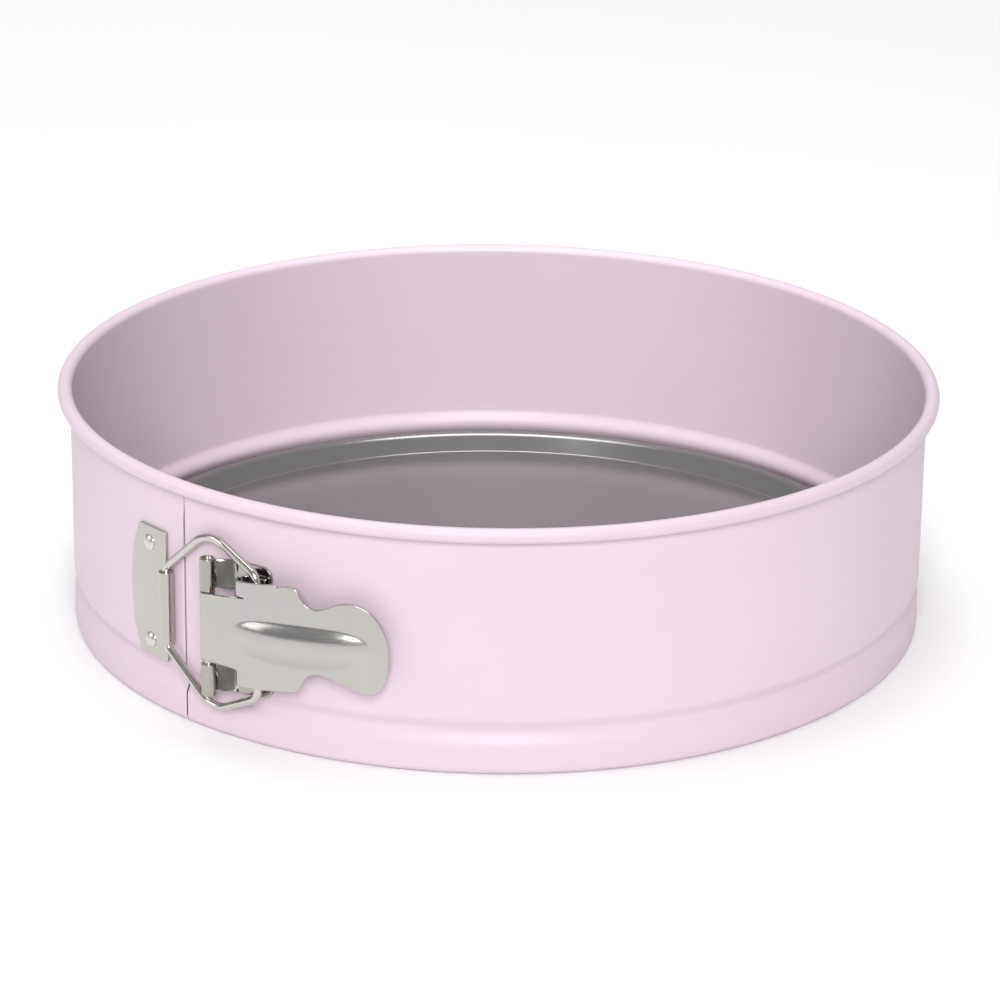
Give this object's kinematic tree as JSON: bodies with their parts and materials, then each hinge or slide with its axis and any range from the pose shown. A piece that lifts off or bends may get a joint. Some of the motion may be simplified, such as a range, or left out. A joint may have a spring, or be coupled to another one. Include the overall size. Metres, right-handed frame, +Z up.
{
  "type": "springform pan",
  "caption": "Round springform cake pan with a rolled rim, an inward bead above a drop-in base, and an over-centre wire and lever latch that lets the split band spring open.",
  "frame": {"origin": "on the band's axis, at the plane the pan rests on", "axes": "+Z up along the band's axis; the seam and latch face the -X-Y quarter"},
  "size_m": [0.2378, 0.2378, 0.0669],
  "materials": {
    "band_paint": "satin pale lilac-pink coating",
    "base_coating": "satin dark grey non-stick coating",
    "plated_sheet": "bright plated pressed sheet",
    "plated_wire": "bright plated wire",
    "rivet_metal": "plain plated steel"
  },
  "bodies": {
    "ring": {"band_right": "band_paint", "hinge_bracket": "plated_sheet", "hinge_rivet_upper": "rivet_metal", "hinge_rivet_lower": "rivet_metal", "hinge_pin": "rivet_metal"},
    "ring_left": {"band_left": "band_paint", "bail_bracket": "plated_sheet", "bail_rivet_upper": "rivet_metal", "bail_rivet_lower": "rivet_metal"},
    "lever": {"lever": "plated_sheet"},
    "bail": {"bail": "plated_wire"},
    "base": {"base_plate": "base_coating"}
  },
  "joints": [
    {"name": "lever_hinge", "type": "hinge", "parent": "ring", "child": "lever", "pos_m": [-0.09081, -0.07936, 0.0317], "axis": [0, 0, -1], "range_deg": [0, 95]},
    {"name": "ring_flex", "type": "hinge", "parent": "ring", "child": "ring_left", "pos_m": [0.0974, 0.0682, 0.0317], "axis": [0, 0, -1], "range_deg": [0, 1.81]},
    {"name": "bail_swing", "type": "hinge", "parent": "ring_left", "child": "bail", "pos_m": [-0.09918, -0.06319, 0.0317], "axis": [0, 0, -1], "range_deg": [0, 31.91]},
    {"name": "base_lift", "type": "slide", "parent": "ring", "child": "base", "axis": [0, 0, 1], "range_m": [0, 0.08]}
  ],
  "couplings": [
    {"joint": "ring_flex", "follows": "lever_hinge", "ratio": 0.019082},
    {"joint": "bail_swing", "follows": "lever_hinge", "ratio": 0.33588}
  ]
}
